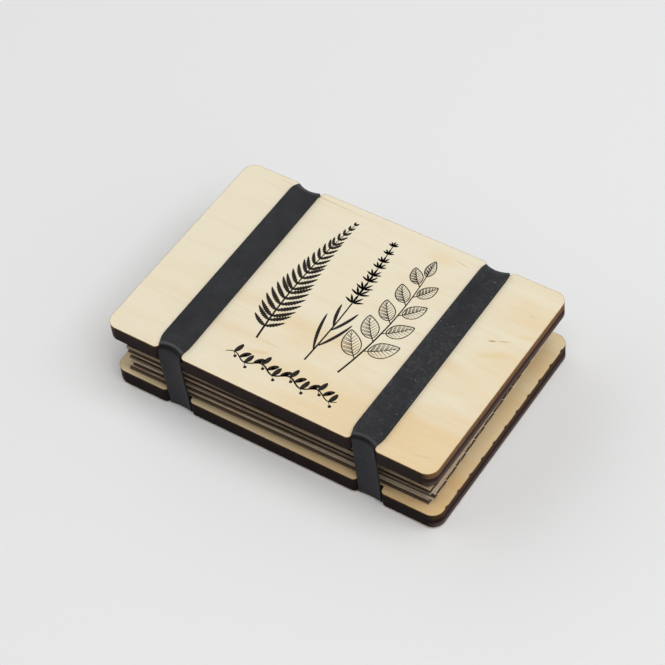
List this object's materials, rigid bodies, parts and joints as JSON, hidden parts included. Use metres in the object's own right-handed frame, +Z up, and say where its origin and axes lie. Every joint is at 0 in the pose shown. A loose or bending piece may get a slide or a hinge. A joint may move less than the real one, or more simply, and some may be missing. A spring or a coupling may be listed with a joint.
{
  "type": "flower press",
  "caption": "Pocket flower press: notched plywood boards with rounded corners clamp a pile of corrugated cards and blotting sheets, pulled together by wide rubber bands round the short way.",
  "frame": {"origin": "on the surface that the press stands on, below the middle of the boards", "axes": "+X along the boards' long side, +Y across them, +Z up through the pile"},
  "size_m": [0.1357, 0.0928, 0.0312],
  "materials": {
    "plywood": "matte",
    "kraft_card": "matte",
    "blotting_paper": "matte",
    "rubber": "matte"
  },
  "bodies": {
    "bottom_board": {"bottom_board": "plywood", "left_band": "rubber", "right_band": "rubber"},
    "top_board": {"top_board": "plywood"},
    "card_1": {"card_1": "kraft_card"},
    "blotter_1": {"blotter_1": "blotting_paper"},
    "blotter_2": {"blotter_2": "blotting_paper"},
    "card_2": {"card_2": "kraft_card"},
    "blotter_3": {"blotter_3": "blotting_paper"},
    "blotter_4": {"blotter_4": "blotting_paper"},
    "card_3": {"card_3": "kraft_card"},
    "blotter_5": {"blotter_5": "blotting_paper"},
    "blotter_6": {"blotter_6": "blotting_paper"},
    "card_4": {"card_4": "kraft_card"},
    "blotter_7": {"blotter_7": "blotting_paper"},
    "blotter_8": {"blotter_8": "blotting_paper"},
    "card_5": {"card_5": "kraft_card"}
  },
  "joints": [
    {"name": "top_board_lift", "type": "slide", "parent": "bottom_board", "child": "top_board", "axis": [0, 0, 1], "range_m": [0, 0.02], "stiffness_N_per_m": 800, "springref_m": -0.023, "deforming": ["left_band", "right_band"]},
    {"name": "card_1_lift", "type": "slide", "parent": "bottom_board", "child": "card_1", "axis": [0, 0, 1], "range_m": [0, 0.0005]},
    {"name": "blotter_1_lift", "type": "slide", "parent": "bottom_board", "child": "blotter_1", "axis": [0, 0, 1], "range_m": [0, 0.0008]},
    {"name": "blotter_2_lift", "type": "slide", "parent": "bottom_board", "child": "blotter_2", "axis": [0, 0, 1], "range_m": [0, 0.00505]},
    {"name": "card_2_lift", "type": "slide", "parent": "bottom_board", "child": "card_2", "axis": [0, 0, 1], "range_m": [0, 0.00535]},
    {"name": "blotter_3_lift", "type": "slide", "parent": "bottom_board", "child": "blotter_3", "axis": [0, 0, 1], "range_m": [0, 0.00565]},
    {"name": "blotter_4_lift", "type": "slide", "parent": "bottom_board", "child": "blotter_4", "axis": [0, 0, 1], "range_m": [0, 0.0099]},
    {"name": "card_3_lift", "type": "slide", "parent": "bottom_board", "child": "card_3", "axis": [0, 0, 1], "range_m": [0, 0.0102]},
    {"name": "blotter_5_lift", "type": "slide", "parent": "bottom_board", "child": "blotter_5", "axis": [0, 0, 1], "range_m": [0, 0.0105]},
    {"name": "blotter_6_lift", "type": "slide", "parent": "bottom_board", "child": "blotter_6", "axis": [0, 0, 1], "range_m": [0, 0.01475]},
    {"name": "card_4_lift", "type": "slide", "parent": "bottom_board", "child": "card_4", "axis": [0, 0, 1], "range_m": [0, 0.01505]},
    {"name": "blotter_7_lift", "type": "slide", "parent": "bottom_board", "child": "blotter_7", "axis": [0, 0, 1], "range_m": [0, 0.01535]},
    {"name": "blotter_8_lift", "type": "slide", "parent": "bottom_board", "child": "blotter_8", "axis": [0, 0, 1], "range_m": [0, 0.0196]},
    {"name": "card_5_lift", "type": "slide", "parent": "bottom_board", "child": "card_5", "axis": [0, 0, 1], "range_m": [0, 0.0199]}
  ],
  "couplings": [
    {"joint": "card_1_lift", "follows": "top_board_lift", "ratio": 0.015},
    {"joint": "blotter_1_lift", "follows": "top_board_lift", "ratio": 0.03},
    {"joint": "blotter_2_lift", "follows": "top_board_lift", "ratio": 0.2425},
    {"joint": "card_2_lift", "follows": "top_board_lift", "ratio": 0.2575},
    {"joint": "blotter_3_lift", "follows": "top_board_lift", "ratio": 0.2725},
    {"joint": "blotter_4_lift", "follows": "top_board_lift", "ratio": 0.485},
    {"joint": "card_3_lift", "follows": "top_board_lift", "ratio": 0.5},
    {"joint": "blotter_5_lift", "follows": "top_board_lift", "ratio": 0.515},
    {"joint": "blotter_6_lift", "follows": "top_board_lift", "ratio": 0.7275},
    {"joint": "card_4_lift", "follows": "top_board_lift", "ratio": 0.7425},
    {"joint": "blotter_7_lift", "follows": "top_board_lift", "ratio": 0.7575},
    {"joint": "blotter_8_lift", "follows": "top_board_lift", "ratio": 0.97},
    {"joint": "card_5_lift", "follows": "top_board_lift", "ratio": 0.985}
  ]
}
